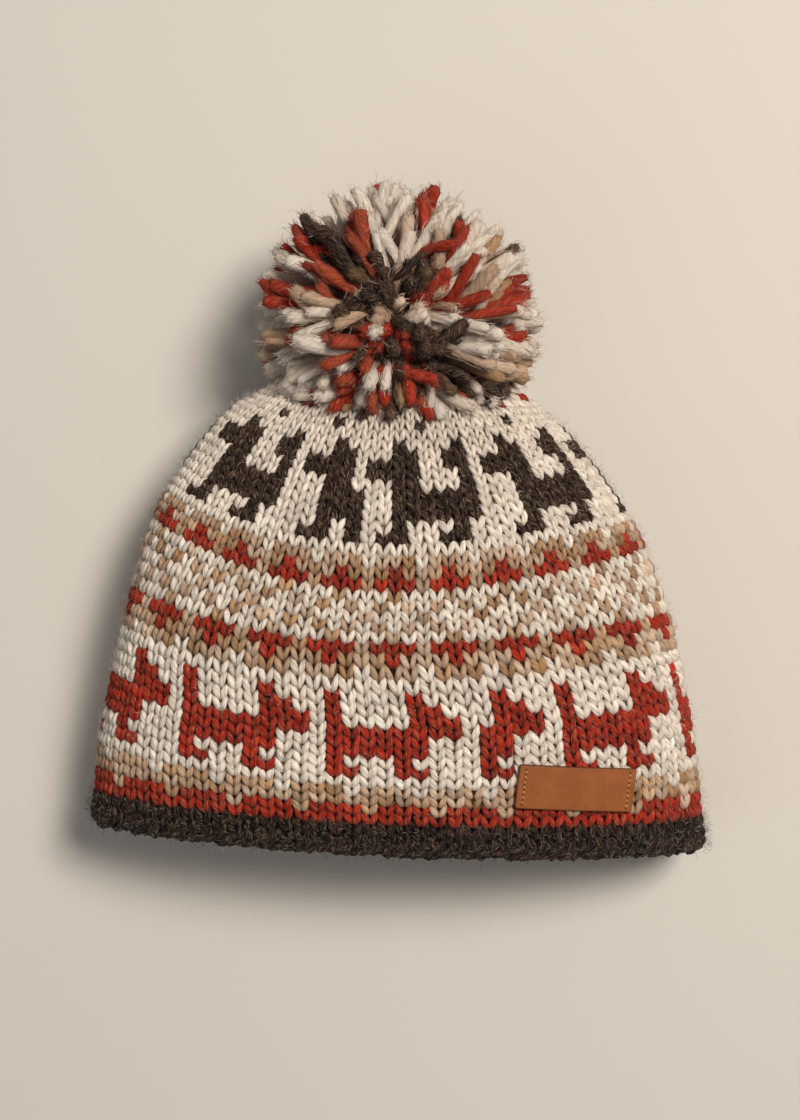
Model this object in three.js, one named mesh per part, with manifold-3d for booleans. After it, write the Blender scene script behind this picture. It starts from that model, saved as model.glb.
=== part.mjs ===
// A knitted pom-pom hat, lying on its back on a table with the front panel up.
// Millimetres. +Z is up, +Y runs from the hem to the pom-pom, and the origin is on the table
// under the middle of the whole hat.
import * as THREE from "three";
import { mergeVertices } from "three/addons/utils/BufferGeometryUtils.js";
import Module from "manifold-3d";

const wasm = await Module();
wasm.setup();

// Knit wall, measured from yarn top to yarn top
const WALL = 4.5;
const PIECE_GAP_ROWS = 0.05;
const EDGING_ROWS = 3;
const TIP_ROW = 52;
const INNER_TIP_ROW = 47;
const INNER_TIP_DEPTH = 2.5;
const OUTER_TIP_DEPTH = 1;

// Facets of the knit wall
const FACETS_AROUND = 60;
const OUTER_STEPS = 21;
const INNER_STEPS = 14;
const ARC_SAMPLES = 24;

// Cross sections of the hat, each along one row of knitting counted up from the hem.
// front, side and back: y of the row in the middle of the front, at the sides and under the back
// tilt and skew: how far the left side runs ahead of the right, straight and towards the ends
// half: half width; top, waist and under: z of the front, of the widest line and of the back
// lower: rounding of the back half, 2 for an ellipse and more for a flatter back
const SECTION_COLUMNS = [
  "row", "front", "side", "back", "tilt", "skew", "half", "top", "waist", "under", "lower",
];
const SECTIONS = [
  [0, -117.3, -114.0, -112.0, 4.7, 0.0, 109.5, 66, 28, -1.5, 3.5],
  [3, -105.3, -101.5, -101.0, 4.2, 0.4, 108.8, 71, 28, -1.5, 3.5],
  [8, -89.0, -80.0, -82.0, 2.8, 1.6, 106.8, 76, 28, -1.5, 3.5],
  [15, -64.3, -50.1, -56.0, 1.0, 3.6, 101.7, 80, 28, -1.5, 3.5],
  [19, -46.9, -33.1, -41.0, 0.4, 4.6, 98.0, 82, 29, -1.5, 3.4],
  [25, -25.9, -4.9, -18.5, 0.0, 6.0, 88.5, 82, 30, -1.5, 3.3],
  [29, -10.0, 7.5, -3.5, 0.0, 5.4, 81.5, 80, 31, -1.5, 3.1],
  [38, 21.9, 34.2, 29.0, 0.0, 4.0, 60.0, 70, 35, 0.5, 2.6],
  [42, 36.0, 41.6, 40.5, 0.0, 2.5, 50.0, 63, 38, 8.0, 2.3],
  [47, 50.5, 52.0, 52.5, 0.0, 1.0, 33.0, 57, 43, 24.0, 2.0],
  [52, 61.5, 61.5, 61.5, 0.0, 0.0, 7.0, 53, 48, 42.0, 2.0],
];
const UPPER_ROUNDING = 2.15;

// Gathers where the last rows are drawn together at the tip
const GATHERS = 12;
const GATHER_DEPTH = 2.2;
const GATHER_START_ROW = 37;

// Soft hollows pressed into the wall: middle row and turn, depth, and reach each way
const FOLD_COLUMNS = ["row", "turn", "depth", "tall", "wide"];
const FOLDS = [
  [34, 0.39, 2.6, 7, 0.05],
  [33, 0.10, 2.2, 8, 0.045],
  [13, 0.31, 1.6, 6, 0.06],
  [20, 0.50, 2.0, 9, 0.03],
];

// Rolled edging: its outline in rows up from the hem and millimetres out from the wall
const EDGING_COLUMNS = ["row", "out"];
const EDGING_OUTLINE = [
  [EDGING_ROWS - PIECE_GAP_ROWS, 0.1],
  [1.9, 0.9],
  [0.9, 0.8],
  [0.15, -0.7],
  [0.0, -2.4],
  [0.25, -4.3],
  [1.2, -5.3],
  [EDGING_ROWS - PIECE_GAP_ROWS, -WALL - 0.1],
];

// Pom-pom: strands fan out from the tied root at the tip, less far towards the hem
const POM_ROOT = new THREE.Vector3(0, 64.5, 44);
const POM_HALF_WIDTH = 51.5;
const POM_HALF_HEIGHT = 49;
const POM_REACH = 53.5;
const POM_REACH_TO_HEM = 38;
const POM_CORE_SHARE = 0.87;
const POM_CORE_FACETS = 16;
const LOCK_COUNT = 56;
const LOCK_SIDES = 5;
const LOCK_RADIUS = 9.5;
const LOCK_START_SHARE = 0.55;
const LOCK_UNEVENNESS = 0.06;
const LOCK_UNEVEN_STEP = 2.4;
const CROWN_CLEARANCE = 0.8;
const CROWN_CUT_ROW = 33;
const CROWN_CUT_STEPS = 9;

// Leather label, sewn on at the lower right of the front
const LABEL_X = 60;
const LABEL_Y = -92.6;
const LABEL_LENGTH = 42;
const LABEL_HEIGHT = 15;
const LABEL_THICKNESS = 1.6;
const LABEL_LIFT = 0.4;
const LABEL_HEADING = THREE.MathUtils.degToRad(-4);
const LABEL_STEPS_LONG = 10;
const LABEL_STEPS_HIGH = 4;

// Colour and surface of each material
const CREAM_KNIT = { color: 0xcbb9ac, roughness: 0.95, metalness: 0 };
const DARK_KNIT = { color: 0x42312a, roughness: 0.95, metalness: 0 };
const MIXED_YARN = { color: 0xb98a72, roughness: 0.95, metalness: 0 };
const TAN_LEATHER = { color: 0xa35f34, roughness: 0.6, metalness: 0 };

function named(columns, rows) {
  return rows.map((row) => Object.fromEntries(columns.map((column, i) => [column, row[i]])));
}

const sectionCurve = new THREE.CubicInterpolant(
  SECTIONS.map((section) => section[0]),
  SECTIONS.flat(),
  SECTION_COLUMNS.length,
  new Float64Array(SECTION_COLUMNS.length),
);
const folds = named(FOLD_COLUMNS, FOLDS);
const edgingOutline = named(EDGING_COLUMNS, EDGING_OUTLINE);

function sectionAt(row) {
  return named(SECTION_COLUMNS, [Array.from(sectionCurve.evaluate(row))])[0];
}

// The place of a row of knitting at a share of the half width, -1 at the left and 1 at the right
function rowY(section, middle, across) {
  const curve = (section.side - middle) * across ** 2;
  return middle + curve - section.tilt * across - section.skew * across ** 3;
}

function sectionPoint(section, angle) {
  const onFront = Math.sin(angle) >= 0;
  const power = 2 / (onFront ? UPPER_ROUNDING : section.lower);
  const across = Math.sign(Math.cos(angle)) * Math.abs(Math.cos(angle)) ** power;
  const rise = Math.abs(Math.sin(angle)) ** power;
  const limit = onFront ? section.top : section.under;
  const z = section.waist + (limit - section.waist) * rise;
  const y = rowY(section, onFront ? section.front : section.back, across);
  return new THREE.Vector3(section.half * across, y, Math.max(z, 0));
}

// Evenly spaced points over half a section, from one side to the other
function halfLoop(section, startAngle) {
  const points = [];
  for (let i = 0; i <= ARC_SAMPLES; i += 1) {
    points.push(sectionPoint(section, startAngle + Math.PI * i / ARC_SAMPLES));
  }
  const spaced = new THREE.CatmullRomCurve3(points).getSpacedPoints(FACETS_AROUND / 2);
  return spaced.slice(0, -1);
}

// One row as a closed loop: from the right side over the front, then back under the hat
function loopAt(row) {
  const section = sectionAt(row);
  return [...halfLoop(section, 0), ...halfLoop(section, Math.PI)];
}

function normalsAt(row) {
  const step = 0.2;
  const middle = loopAt(row);
  const below = loopAt(Math.max(row - step, 0));
  const above = loopAt(Math.min(row + step, TIP_ROW));
  return middle.map((point, i) => {
    const next = middle[(i + 1) % FACETS_AROUND];
    const previous = middle[(i + FACETS_AROUND - 1) % FACETS_AROUND];
    const around = next.clone().sub(previous);
    const upward = above[i].clone().sub(below[i]);
    return upward.cross(around).normalize();
  });
}

// How far the wall is drawn in by the gathers and the folds
function hollowAt(row, turn) {
  const gathered = THREE.MathUtils.smoothstep(row, GATHER_START_ROW, TIP_ROW - 1);
  const pleat = 0.5 - 0.5 * Math.cos(2 * Math.PI * GATHERS * turn);
  let hollow = GATHER_DEPTH * gathered * pleat;
  for (const fold of folds) {
    const up = (row - fold.row) / fold.tall;
    const round = (turn - fold.turn) / fold.wide;
    hollow += fold.depth * Math.exp(-up * up - round * round);
  }
  return hollow;
}

// One row of the wall, moved out by a distance and never below the table
function wallRing(row, out) {
  const normals = normalsAt(row);
  return loopAt(row).map((point, i) => {
    const moved = out - hollowAt(row, i / FACETS_AROUND);
    const placed = point.addScaledVector(normals[i], moved);
    placed.z = Math.max(placed.z, 0);
    return placed;
  });
}

function middleOf(ring) {
  const sum = new THREE.Vector3();
  ring.forEach((point) => sum.add(point));
  return sum.divideScalar(ring.length);
}

// A closed surface over a stack of rings, shut by a point at each end, or joined end to end
function ringSurface(rings, ends) {
  const size = rings[0].length;
  const points = rings.flat();
  const faces = [];
  const count = ends ? rings.length - 1 : rings.length;
  for (let r = 0; r < count; r += 1) {
    const low = r * size;
    const high = ((r + 1) % rings.length) * size;
    for (let i = 0; i < size; i += 1) {
      const j = (i + 1) % size;
      faces.push(low + i, high + j, low + j, low + i, high + i, high + j);
    }
  }
  if (ends) {
    const last = (rings.length - 1) * size;
    const start = points.push(ends[0]) - 1;
    const finish = points.push(ends[1]) - 1;
    for (let i = 0; i < size; i += 1) {
      const j = (i + 1) % size;
      faces.push(start, i, j, finish, last + j, last + i);
    }
  }
  const geometry = new THREE.BufferGeometry().setFromPoints(points);
  geometry.setIndex(faces);
  return geometry;
}

function spread(from, to, steps) {
  return Array.from({ length: steps + 1 }, (_, i) => from + (to - from) * i / steps);
}

function hatBody() {
  const start = EDGING_ROWS + PIECE_GAP_ROWS;
  const inner = spread(INNER_TIP_ROW, start, INNER_STEPS).map((row) => wallRing(row, -WALL));
  const outer = spread(start, TIP_ROW, OUTER_STEPS).map((row) => wallRing(row, 0));
  const innerEnd = middleOf(inner[0]);
  innerEnd.y += INNER_TIP_DEPTH;
  const outerEnd = middleOf(outer.at(-1));
  outerEnd.y += OUTER_TIP_DEPTH;
  return ringSurface([...inner, ...outer], [innerEnd, outerEnd]);
}

function hemEdging() {
  const rings = edgingOutline.map((corner) => wallRing(corner.row, corner.out));
  return ringSurface(rings.reverse(), null);
}

function toSolid(geometry) {
  const bare = geometry.clone();
  bare.deleteAttribute("normal");
  bare.deleteAttribute("uv");
  const merged = mergeVertices(bare);
  const vertProperties = Float32Array.from(merged.attributes.position.array);
  const triVerts = Uint32Array.from(merged.index.array);
  return new wasm.Manifold(new wasm.Mesh({ numProp: 3, vertProperties, triVerts }));
}

function toGeometry(solid) {
  const mesh = solid.getMesh();
  const geometry = new THREE.BufferGeometry();
  geometry.setAttribute("position", new THREE.BufferAttribute(mesh.vertProperties, 3));
  geometry.setIndex(new THREE.BufferAttribute(mesh.triVerts, 1));
  return geometry;
}

// A blunt tapered bundle of strands standing on the origin along +Y
function lockShape(length) {
  const outline = [
    [0, 0],
    [0.5, 0],
    [1, 0.82],
    [0.7, 0.98],
    [0, 1],
  ];
  const points = outline.map(([wide, along]) => new THREE.Vector2(wide * LOCK_RADIUS, along * length));
  return new THREE.LatheGeometry(points, LOCK_SIDES);
}

// Directions spread evenly over a ball by the golden angle
function evenDirection(index, count) {
  const height = 1 - 2 * (index + 0.5) / count;
  const radius = Math.sqrt(1 - height * height);
  const angle = index * Math.PI * (3 - Math.sqrt(5));
  return new THREE.Vector3(radius * Math.cos(angle), height, radius * Math.sin(angle));
}

// Where the pom-pom's outer form lies in a direction from its root
function pomReach(direction, share) {
  const forward = direction.y > 0 ? POM_REACH : POM_REACH_TO_HEM;
  const reach = new THREE.Vector3(POM_HALF_WIDTH, forward, POM_HALF_HEIGHT);
  return direction.clone().multiply(reach).multiplyScalar(share).add(POM_ROOT);
}

function insideHat(point) {
  const section = sectionAt(rowUnder(point.x, point.y));
  const across = Math.abs(point.x / section.half);
  if (across >= 1 || point.y > SECTIONS.at(-1)[1]) {
    return false;
  }
  const limit = point.z > section.waist ? section.top : section.under;
  const power = point.z > section.waist ? UPPER_ROUNDING : section.lower;
  const rise = Math.abs((point.z - section.waist) / (limit - section.waist));
  return across ** power + rise ** power < 1;
}

function lock(direction, uneven) {
  const end = pomReach(direction, uneven);
  const start = POM_ROOT.clone().lerp(end, LOCK_START_SHARE);
  const along = end.clone().sub(start);
  const geometry = lockShape(along.length());
  const turn = new THREE.Quaternion().setFromUnitVectors(new THREE.Vector3(0, 1, 0), along.normalize());
  geometry.applyQuaternion(turn);
  geometry.translate(start.x, start.y, start.z);
  return geometry;
}

// Locks all round the root, apart from those that would start inside the hat
function locks() {
  const made = [];
  for (let i = 0; i < LOCK_COUNT; i += 1) {
    const direction = evenDirection(i, LOCK_COUNT);
    const uneven = 1 + LOCK_UNEVENNESS * Math.sin(i * LOCK_UNEVEN_STEP);
    const clear = [POM_CORE_SHARE, 1].every((share) => !insideHat(pomReach(direction, share)));
    if (clear) {
      made.push(lock(direction, uneven));
    }
  }
  return made;
}

function pomCore() {
  const core = new THREE.SphereGeometry(1, POM_CORE_FACETS, POM_CORE_FACETS / 2);
  const corners = core.attributes.position;
  const corner = new THREE.Vector3();
  for (let i = 0; i < corners.count; i += 1) {
    corner.fromBufferAttribute(corners, i);
    corners.setXYZ(i, ...pomReach(corner, POM_CORE_SHARE));
  }
  return core;
}

// The tip of the hat with a little room round it, to be cut out of the pom-pom
function crownRoom() {
  const rows = spread(CROWN_CUT_ROW, TIP_ROW, CROWN_CUT_STEPS);
  const rings = rows.map((row) => wallRing(row, CROWN_CLEARANCE));
  const tip = middleOf(rings.at(-1));
  tip.y += OUTER_TIP_DEPTH + CROWN_CLEARANCE;
  return ringSurface(rings, [middleOf(rings[0]), tip]);
}

function belowTable() {
  const side = 4 * POM_HALF_WIDTH;
  const block = new THREE.BoxGeometry(side, side, side);
  block.translate(POM_ROOT.x, POM_ROOT.y, -side / 2);
  return block;
}

function pomPom() {
  let solid = toSolid(pomCore());
  for (const geometry of locks()) {
    solid = solid.add(toSolid(geometry));
  }
  solid = solid.subtract(toSolid(crownRoom())).subtract(toSolid(belowTable()));
  return toGeometry(solid);
}

// The row of knitting that passes through a point of the front seen from above
function rowUnder(x, y) {
  const halvings = 40;
  let low = 0;
  let high = TIP_ROW;
  for (let i = 0; i < halvings; i += 1) {
    const row = (low + high) / 2;
    const section = sectionAt(row);
    const passed = rowY(section, section.front, x / section.half) > y;
    [low, high] = passed ? [low, row] : [row, high];
  }
  return low;
}

function frontPoint(x, y) {
  const section = sectionAt(rowUnder(x, y));
  const across = Math.abs(x / section.half);
  const rise = (1 - across ** UPPER_ROUNDING) ** (1 / UPPER_ROUNDING);
  return new THREE.Vector3(x, y, section.waist + (section.top - section.waist) * rise);
}

function frontNormal(x, y) {
  const step = 1;
  const right = frontPoint(x + step, y).sub(frontPoint(x - step, y));
  const up = frontPoint(x, y + step).sub(frontPoint(x, y - step));
  return right.cross(up).normalize();
}

// A sheet of leather that follows the knit under it
function leatherLabel() {
  const middle = frontPoint(LABEL_X, LABEL_Y);
  const normal = frontNormal(LABEL_X, LABEL_Y);
  const along = new THREE.Vector3(Math.cos(LABEL_HEADING), Math.sin(LABEL_HEADING), 0);
  along.z = -along.dot(normal) / normal.z;
  along.normalize();
  const up = normal.clone().cross(along);
  const place = (a, b, lift) => {
    const flat = middle.clone().addScaledVector(along, a).addScaledVector(up, b);
    return frontPoint(flat.x, flat.y).addScaledVector(frontNormal(flat.x, flat.y), lift);
  };
  const heights = spread(-LABEL_HEIGHT / 2, LABEL_HEIGHT / 2, LABEL_STEPS_HIGH);
  const rings = spread(LABEL_LENGTH / 2, -LABEL_LENGTH / 2, LABEL_STEPS_LONG).map((a) => {
    const under = heights.map((b) => place(a, b, LABEL_LIFT));
    const over = heights.map((b) => place(a, b, LABEL_LIFT + LABEL_THICKNESS));
    return [...under, ...over.reverse()];
  });
  return ringSurface(rings, [middleOf(rings[0]), middleOf(rings.at(-1))]);
}

function piece(name, geometry, finish) {
  geometry.computeVertexNormals();
  const mesh = new THREE.Mesh(geometry, new THREE.MeshStandardMaterial(finish));
  mesh.name = name;
  return mesh;
}

const hat = new THREE.Group();
hat.add(piece("hat_body", hatBody(), CREAM_KNIT));
hat.add(piece("hem_edging", hemEdging(), DARK_KNIT));
hat.add(piece("pom_pom", pomPom(), MIXED_YARN));
hat.add(piece("leather_label", leatherLabel(), TAN_LEATHER));

export default hat;
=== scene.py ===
import math
from collections import namedtuple

import bpy
import numpy as np
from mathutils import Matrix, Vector
from mathutils.kdtree import KDTree


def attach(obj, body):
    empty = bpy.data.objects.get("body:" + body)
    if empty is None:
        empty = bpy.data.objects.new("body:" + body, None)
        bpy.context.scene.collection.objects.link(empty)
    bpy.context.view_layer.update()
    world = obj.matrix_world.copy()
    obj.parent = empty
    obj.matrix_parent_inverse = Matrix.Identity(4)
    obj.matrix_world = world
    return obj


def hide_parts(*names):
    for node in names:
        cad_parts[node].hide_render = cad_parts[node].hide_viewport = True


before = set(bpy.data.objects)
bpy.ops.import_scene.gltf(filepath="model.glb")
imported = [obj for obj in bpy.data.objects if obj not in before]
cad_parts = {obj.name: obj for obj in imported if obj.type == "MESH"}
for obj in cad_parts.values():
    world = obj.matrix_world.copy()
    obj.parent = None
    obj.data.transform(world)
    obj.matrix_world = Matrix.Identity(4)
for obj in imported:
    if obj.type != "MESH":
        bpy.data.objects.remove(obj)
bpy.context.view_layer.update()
rng = np.random.default_rng(11)

MM = 0.001
MM_PER_CM = 10

# Knit wall, in millimetres
WALL = 4.5
FLOOR_GAP = 0.2
EDGING_ROWS = 3
TIP_ROW = 52
INNER_TIP_ROW = 47
UPPER_ROUNDING = 2.15
ARC_SAMPLES = 400
ROW_STEP = 0.25
TURN_STEPS = 688
ROW_HALVINGS = 40

# Cross sections of the hat, each along one row of knitting counted up from the hem, in millimetres.
# front, side and back: y of the row in the middle of the front, at the sides and under the back
# tilt and skew: how far the left side runs ahead of the right, straight and towards the ends
# half: half width; top, waist and under: z of the front, of the widest line and of the back
# lower: rounding of the back half, 2 for an ellipse and more for a flatter back
SECTION_COLUMNS = (
    "row", "front", "side", "back", "tilt", "skew", "half", "top", "waist", "under", "lower",
)
SECTIONS = np.array([
    [0, -117.3, -114.0, -112.0, 4.7, 0.0, 109.5, 66, 28, -1.5, 3.5],
    [3, -105.3, -101.5, -101.0, 4.2, 0.4, 108.8, 71, 28, -1.5, 3.5],
    [8, -89.0, -80.0, -82.0, 2.8, 1.6, 106.8, 76, 28, -1.5, 3.5],
    [15, -64.3, -50.1, -56.0, 1.0, 3.6, 101.7, 80, 28, -1.5, 3.5],
    [19, -46.9, -33.1, -41.0, 0.4, 4.6, 98.0, 82, 29, -1.5, 3.4],
    [25, -25.9, -4.9, -18.5, 0.0, 6.0, 88.5, 82, 30, -1.5, 3.3],
    [29, -10.0, 7.5, -3.5, 0.0, 5.4, 81.5, 80, 31, -1.5, 3.1],
    [38, 21.9, 34.2, 29.0, 0.0, 4.0, 60.0, 70, 35, 0.5, 2.6],
    [42, 36.0, 41.6, 40.5, 0.0, 2.5, 50.0, 63, 38, 8.0, 2.3],
    [47, 50.5, 52.0, 52.5, 0.0, 1.0, 33.0, 57, 43, 24.0, 2.0],
    [52, 61.5, 61.5, 61.5, 0.0, 0.0, 7.0, 53, 48, 42.0, 2.0],
])

# Gathers at the tip, and soft hollows pressed into the wall
GATHERS = 12
GATHER_DEPTH = 2.2
GATHER_START_ROW = 37
FOLD_COLUMNS = ("row", "turn", "depth", "tall", "wide")
FOLDS = [
    [34, 0.39, 2.6, 7, 0.05],
    [33, 0.10, 2.2, 8, 0.045],
    [13, 0.31, 1.6, 6, 0.06],
    [20, 0.50, 2.0, 9, 0.03],
]

# Stitches: columns of knitting around the hat, counted from its left side over the front.
# first and last row, and columns around
STITCH_BANDS = {
    "knit_lower_band": (3, 15, 90),
    "knit_middle_band": (16, 28, 90),
    "knit_upper_band": (29, 41, 78),
    "knit_crown": (42, 46, 39),
    "knit_tip": (47, 51, 20),
}
COLUMNS = 90
DECREASE_ROWS = np.array([29, 42, 47])
COLUMNS_AROUND = np.array([90, 78, 39, 20])

# Below the first decreases, by row: columns over the front half, and the column in the front's middle.
# Above them, half of the columns lie over the front.
SPREAD_ROWS = (8, 16, 19, 25)
SPREAD_COLUMNS = (43.6, 44.8, 46.8, 50.1)
MIDDLE_ROWS = (13, 19, 25)
MIDDLE_COLUMNS = (22.14, 22.75, 22.4)
UPPER_MIDDLE_SHARE = 0.246

# One leg of a stitch: its foot and head from the stitch's middle, in columns, and its rows
LEG_FOOT = 0.05
LEG_HEAD = 0.45
LEG_START = -0.2
LEG_RISE = 1.42
LEG_HALF_WIDTH = 0.222
LEG_HALF_DEPTH = 1.2
LEG_AXIS = -0.75
LEG_SINK = 1.7
LEG_RINGS = 5
LEG_PROFILE = np.array([0.5, 0.92, 1.0, 0.92, 0.5])
LEG_SHADE = np.array([0.4, 0.85, 1.0, 0.95, 0.5])
LEG_ARCH_ENDS = 0.04
LEG_ARCH_POWER = 0.7
LEG_TIP = 0.4
WIDEST_COLUMN = 6.5
LEG_JITTER = 0.03
LEG_TONE_VARIATION = 0.07
LEG_SPREAD_VARIATION = 0.08
LEG_FULLNESS_VARIATION = 0.09
FRONT_MARGIN = 0.04
FRONT_LEG_SIDES = 7
BACK_LEG_SIDES = 4

# Colour chart, by row up from the hem: "." cream, R red, T tan, D dark
REPEAT_START = 21
JOG_COLUMN = 66
REPEAT_ROWS = {
    0: "D", 1: "D", 2: "D",
    3: "R", 4: "RRRT", 5: "T", 6: "TT.T",
    17: "TTT.", 18: "TRTT", 19: "RRRT", 20: ".T..", 21: "T.T.", 22: "...T",
    23: "T.T.", 24: ".T..", 25: "RRRT", 26: "TRTT", 27: "TTT.",
}
DOG = (
    "R....R..",
    "R....RR.",
    "R....RRR",
    "RRRRRRRR",
    "RRRRRR..",
    "RRRRRR..",
    "R...R...",
    "RR..RR..",
)
DOG_TOP_ROW = 15
DOG_STARTS = (0, 9, 18, 32, 41, 50, 59, 68, 77)
DOG_PART_START = 27
DOG_PART_COLUMNS = 4
LLAMA = (
    "..D....D",
    "..DD..DD",
    "DDDD..DD",
    "DDDD...D",
    "..DD...D",
    "..DDDDDD",
    "..DDDDDD",
    "..DDDDDD",
    "..D...D.",
    ".DD..DD.",
)
LLAMA_TOP_ROW = 38
LLAMA_STARTS = (3, 17, 26, 35, 44, 53, 62, 71)
LLAMA_PART = (
    "..D..",
    "..DD.",
    "DDDD.",
    "DDDD.",
    "..DD.",
    "..DDD",
    "..DDD",
    "..DDD",
    "..D.D",
    ".DD.D",
)
LLAMA_PART_START = 12
DOTS_ROW = 40
DOT_COLUMNS = (7, 13, 21, 30, 39, 48, 57, 66, 75)
RED_MARKS = (
    (42, 4), (43, 4), (43, 5), (42, 13), (42, 15), (43, 15), (43, 18), (42, 24), (43, 30), (42, 36),
)


def linear(red, green, blue):
    """A colour in display values from 0 to 255, as the linear values that shading uses."""
    share = np.array([red, green, blue]) / 255
    return np.where(share <= 0.04045, share / 12.92, ((share + 0.055) / 1.055) ** 2.4)


# Yarn colours, how much of each yarn is light flecks, and how far its stitches differ in lightness
YARN = {
    ".": linear(238, 227, 214),
    "R": linear(162, 40, 19),
    "T": linear(174, 134, 94),
    "D": linear(41, 27, 22),
}
FLECKS = {".": 0.16, "R": 0.36, "T": 0.55, "D": 0.48}
YARN_VARIATION = {".": 0.05, "R": 0.15, "T": 0.12, "D": 0.18}
TAN_TO_CREAM = 0.45

# Painted shade in the gaps between stitches: what is left there of a yarn's red, green and blue, and how
# shade warms it
GAP_SHADE_TINT = np.array([0.28, 0.17, 0.11])
SHADE_WARMTH = np.array([0.85, 1.1, 1.25])
DARK_SHADE_DEPTH = 1.9
LIGHT_SHADE_LOSS = 1.74
LUMINANCE = np.array([0.2126, 0.7152, 0.0722])


# Surface of the hat

def section_curves(rows):
    """Each column of the section table as a smooth curve, at these rows."""
    knots = SECTIONS[:, 0]
    slopes = np.diff(SECTIONS, axis=0) / np.diff(knots)[:, None]
    knot_slopes = (np.vstack([slopes[:1], slopes]) + np.vstack([slopes, slopes[-1:]])) / 2
    span = np.clip(np.searchsorted(knots, rows, side="right") - 1, 0, len(knots) - 2)
    length = (knots[span + 1] - knots[span])[:, None]
    t = (rows - knots[span])[:, None] / length
    values = SECTIONS[span] * (1 + 2 * t) * (1 - t) ** 2
    values += SECTIONS[span + 1] * t ** 2 * (3 - 2 * t)
    values += knot_slopes[span] * length * t * (1 - t) ** 2
    values -= knot_slopes[span + 1] * length * t ** 2 * (1 - t)
    return dict(zip(SECTION_COLUMNS, values.T))


def row_y(curves, middle, across):
    """The place of a row at a share of the half width, -1 at the left and 1 at the right."""
    bend = (curves["side"] - middle) * across ** 2
    return middle + bend - curves["tilt"] * across - curves["skew"] * across ** 3


def travelled(lines):
    """Distance along each line at its points."""
    steps = np.linalg.norm(np.diff(lines, axis=1), axis=-1)
    return np.concatenate([np.zeros((len(steps), 1)), np.cumsum(steps, axis=1)], axis=1)


def half_loops(curves, front):
    """Evenly spaced points over the front half, or the back half, of every row."""
    angles = np.linspace(0, math.pi, ARC_SAMPLES + 1)[None, :]
    columns = {name: values[:, None] for name, values in curves.items()}
    power = 2 / (np.full_like(columns["lower"], UPPER_ROUNDING) if front else columns["lower"])
    middle = columns["front" if front else "back"]
    limit = columns["top" if front else "under"]
    side = 1 if front else -1
    across = side * np.sign(np.cos(angles)) * np.abs(np.cos(angles)) ** power
    rise = np.abs(np.sin(angles)) ** power
    z = np.maximum(columns["waist"] + (limit - columns["waist"]) * rise, 0)
    dense = np.stack([columns["half"] * across, row_y(columns, middle, across), z], axis=-1)
    count = TURN_STEPS // 2
    spaced = np.empty((len(dense), count, 3))
    for i, (line, run) in enumerate(zip(dense, travelled(dense))):
        stops = np.arange(count) / count * run[-1]
        for axis in range(3):
            spaced[i, :, axis] = np.interp(stops, run, line[:, axis])
    return spaced


def smooth_step(value, low, high):
    t = np.clip((value - low) / (high - low), 0, 1)
    return t * t * (3 - 2 * t)


def hollows(rows, turns):
    """How far the wall is drawn in by the gathers and the folds."""
    gathered = smooth_step(rows, GATHER_START_ROW, TIP_ROW - 1)
    hollow = GATHER_DEPTH * gathered * (0.5 - 0.5 * np.cos(2 * math.pi * GATHERS * turns))
    for values in FOLDS:
        fold = dict(zip(FOLD_COLUMNS, values))
        up = (rows - fold["row"]) / fold["tall"]
        round_ = (turns - fold["turn"]) / fold["wide"]
        hollow = hollow + fold["depth"] * np.exp(-up ** 2 - round_ ** 2)
    return hollow


def unit(vectors):
    return vectors / np.maximum(np.linalg.norm(vectors, axis=-1, keepdims=True), 1e-9)


grid_rows = np.arange(0, TIP_ROW + ROW_STEP / 2, ROW_STEP)
grid_turns = np.arange(TURN_STEPS) / TURN_STEPS
grid_curves = section_curves(grid_rows)
wall_points = np.concatenate([half_loops(grid_curves, True), half_loops(grid_curves, False)], axis=1)
wall_around = np.roll(wall_points, -1, axis=1) - np.roll(wall_points, 1, axis=1)
wall_upward = np.gradient(wall_points, axis=0)
wall_normals = unit(np.cross(wall_upward, wall_around))
wall_points = wall_points - wall_normals * hollows(grid_rows[:, None], grid_turns[None, :])[..., None]
wall_points[..., 2] = np.maximum(wall_points[..., 2], 0)
row_lengths = np.linalg.norm(np.roll(wall_points, -1, axis=1) - wall_points, axis=-1).sum(axis=1)


def grid_blend(grid, rows, turns):
    """Values of a grid between its rows and turns."""
    r = np.clip(rows, 0, TIP_ROW) / ROW_STEP
    c = np.mod(turns, 1) * TURN_STEPS
    r0 = np.minimum(r.astype(int), len(grid_rows) - 2)
    c0 = c.astype(int) % TURN_STEPS
    c1 = (c0 + 1) % TURN_STEPS
    up = (r - r0)[..., None]
    on = (c - np.floor(c))[..., None]
    low = grid[r0, c0] * (1 - on) + grid[r0, c1] * on
    high = grid[r0 + 1, c0] * (1 - on) + grid[r0 + 1, c1] * on
    return low * (1 - up) + high * up


def on_wall(rows, turns, out):
    """Points of the wall moved out by a distance, with the outward direction there."""
    rows, turns, out = np.broadcast_arrays(rows, turns, out)
    normal = unit(grid_blend(wall_normals, rows, turns))
    return grid_blend(wall_points, rows, turns) + normal * out[..., None], normal


def curves_at(rows):
    """The section curves at rows in an array of any shape."""
    curves = section_curves(rows.ravel())
    return {name: values.reshape(rows.shape) for name, values in curves.items()}


def row_under(x, y):
    """The row of the front that passes through a point seen from above."""
    low = np.zeros(np.shape(x))
    high = np.full(np.shape(x), float(TIP_ROW))
    for _ in range(ROW_HALVINGS):
        row = (low + high) / 2
        curves = curves_at(row)
        passed = row_y(curves, curves["front"], x / curves["half"]) > y
        high = np.where(passed, row, high)
        low = np.where(passed, low, row)
    return low


def front_point(x, y):
    curves = curves_at(row_under(x, y))
    across = np.abs(x / curves["half"])
    rise = (1 - across ** UPPER_ROUNDING) ** (1 / UPPER_ROUNDING)
    return np.stack([x, y, curves["waist"] + (curves["top"] - curves["waist"]) * rise], axis=-1)


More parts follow.
